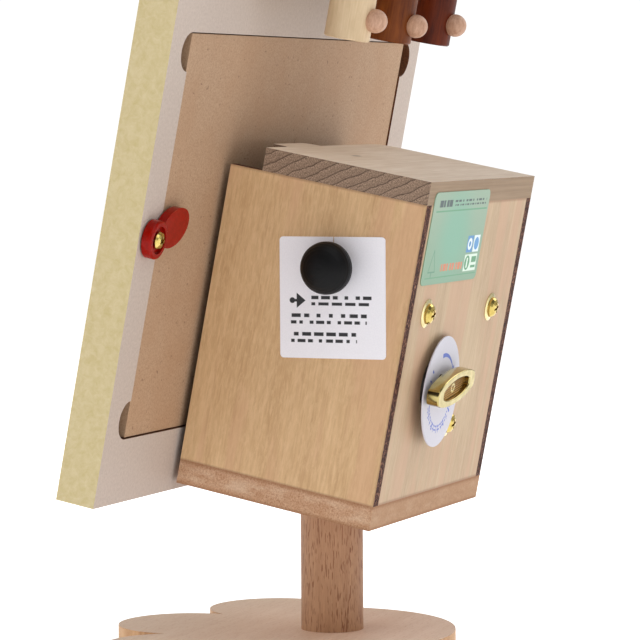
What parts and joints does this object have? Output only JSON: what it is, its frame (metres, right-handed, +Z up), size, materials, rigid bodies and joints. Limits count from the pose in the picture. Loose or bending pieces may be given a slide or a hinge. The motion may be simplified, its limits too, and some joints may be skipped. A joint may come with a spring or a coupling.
{
  "type": "wind up music box",
  "caption": "Leaning picture frame with three peg figures that rocks in front of a small wooden box holding a spring wound comb movement, on a round post and a lobed wooden base.",
  "frame": {"origin": "the post's axis on the underside of the base", "axes": "+X to the right seen from the front of the picture, -Y towards the front, +Z up"},
  "size_m": [0.1524, 0.0924, 0.1894],
  "materials": {
    "beech": "smooth bare beech",
    "mdf_edge": "sawn board edge",
    "ply_side": "laser cut plywood",
    "ply_back": "laser cut plywood",
    "top_wood": "bare softwood",
    "white_label": "satin paper",
    "green_label": "satin paper",
    "gold": "bright gold plate",
    "steel": "plain steel",
    "die_cast": "die cast",
    "brass": "turned brass",
    "nylon": "moulded",
    "black_plastic": "satin moulded",
    "red_plastic": "gloss moulded",
    "frame_paper": "board with mottled paper",
    "clear_sheet": "clear sheet",
    "picture": "printed",
    "brown_board": "thin hardboard",
    "cream_paint": "painted wood",
    "brown_paint": "stained wood",
    "dark_paint": "stained wood",
    "bare_ball": "bare wood"
  },
  "bodies": {
    "stand": {"base": "beech", "post": "beech", "bottom_board": "mdf_edge", "side_panel_stopper": "ply_side", "side_panel_plain": "ply_side", "back_panel": "ply_back", "top_board": "top_wood", "stopper_label": "white_label", "back_label": "green_label", "key_disc": "white_label", "mounting_screws": "gold", "cup_washers": "gold", "bedplate": "die_cast", "comb": "steel", "comb_screws": "steel", "governor_bracket": "die_cast", "clutch_spring": "steel", "pivot_block": "beech", "pivot_bush": "brass"},
    "barrel": {"spring_barrel": "brass", "mainspring": "steel", "drive_shaft": "steel", "crank_disc": "brass", "crank_pin": "steel"},
    "key": {"winding_arbor": "steel", "winding_key": "gold"},
    "cylinder": {"cylinder_arbor": "brass", "cylinder_wheel": "nylon", "pin_cylinder": "brass"},
    "idler": {"idler_arbor": "brass", "worm_wheel": "nylon"},
    "governor": {"worm_shaft": "steel", "governor_fly": "nylon"},
    "stopper": {"stopper_knob": "black_plastic", "stopper_rod": "steel"},
    "frame": {"frame_board": "frame_paper", "glazing": "clear_sheet", "photo_print": "picture", "frame_back": "brown_board", "button_screws": "gold", "rocker_bracket": "steel", "bracket_screws": "steel", "pivot_pin": "steel", "retaining_clip": "steel", "figure_beam": "frame_paper", "beam_screws": "steel", "figure_pins": "steel"},
    "button_left": {"turn_button_left": "red_plastic"},
    "button_right": {"turn_button_right": "red_plastic"},
    "figure_1": {"figure_1_body": "cream_paint", "figure_1_head": "cream_paint", "figure_1_tail": "bare_ball"},
    "figure_2": {"figure_2_body": "brown_paint", "figure_2_head": "brown_paint", "figure_2_tail": "bare_ball"},
    "figure_3": {"figure_3_body": "dark_paint", "figure_3_head": "dark_paint", "figure_3_tail": "bare_ball"}
  },
  "joints": [
    {"name": "key_wind", "type": "hinge", "parent": "stand", "child": "key", "pos_m": [0.0122, 0.02959, 0.07326], "axis": [0, 0.9813, -0.1925], "continuous": true},
    {"name": "barrel_spin", "type": "hinge", "parent": "stand", "child": "barrel", "pos_m": [0.0122, 0.01782, 0.07557], "axis": [0, 0.9813, -0.1925], "continuous": true},
    {"name": "cylinder_spin", "type": "hinge", "parent": "stand", "child": "cylinder", "pos_m": [-0.01, 0.00996, 0.07711], "axis": [1, 0, 0], "continuous": true},
    {"name": "idler_spin", "type": "hinge", "parent": "stand", "child": "idler", "pos_m": [-0.022, 0.00825, 0.06838], "axis": [1, 0, 0], "continuous": true},
    {"name": "governor_spin", "type": "hinge", "parent": "stand", "child": "governor", "pos_m": [-0.0275, 0.00328, 0.06589], "axis": [0, 0.1925, 0.9813], "continuous": true},
    {"name": "stopper_pull", "type": "slide", "parent": "stand", "child": "stopper", "axis": [1, 0, 0], "range_m": [0, 0.004]},
    {"name": "frame_rock", "type": "hinge", "parent": "stand", "child": "frame", "pos_m": [0, -0.01867, 0.06103], "axis": [0, 0.9813, -0.1925], "range_deg": [-3, 3]},
    {"name": "button_left_turn", "type": "hinge", "parent": "frame", "child": "button_left", "pos_m": [0.071, -0.01345, 0.10841], "axis": [0, 0.9813, -0.1925], "continuous": true},
    {"name": "button_right_turn", "type": "hinge", "parent": "frame", "child": "button_right", "pos_m": [-0.071, -0.01345, 0.10841], "axis": [0, 0.9813, -0.1925], "continuous": true},
    {"name": "figure_1_sway", "type": "hinge", "parent": "frame", "child": "figure_1", "pos_m": [0.0265, 0.0181, 0.16795], "axis": [0, 0.9813, -0.1925], "range_deg": [-8, 8], "stiffness_Nm_per_rad": 0.02},
    {"name": "figure_2_sway", "type": "hinge", "parent": "frame", "child": "figure_2", "pos_m": [0, 0.0181, 0.16795], "axis": [0, 0.9813, -0.1925], "range_deg": [-8, 8], "stiffness_Nm_per_rad": 0.02},
    {"name": "figure_3_sway", "type": "hinge", "parent": "frame", "child": "figure_3", "pos_m": [-0.0265, 0.0181, 0.16795], "axis": [0, 0.9813, -0.1925], "range_deg": [-8, 8], "stiffness_Nm_per_rad": 0.02}
  ],
  "couplings": [
    {"joint": "cylinder_spin", "follows": "barrel_spin", "ratio": 2.25},
    {"joint": "idler_spin", "follows": "barrel_spin", "ratio": -9},
    {"joint": "governor_spin", "follows": "barrel_spin", "ratio": 180}
  ]
}
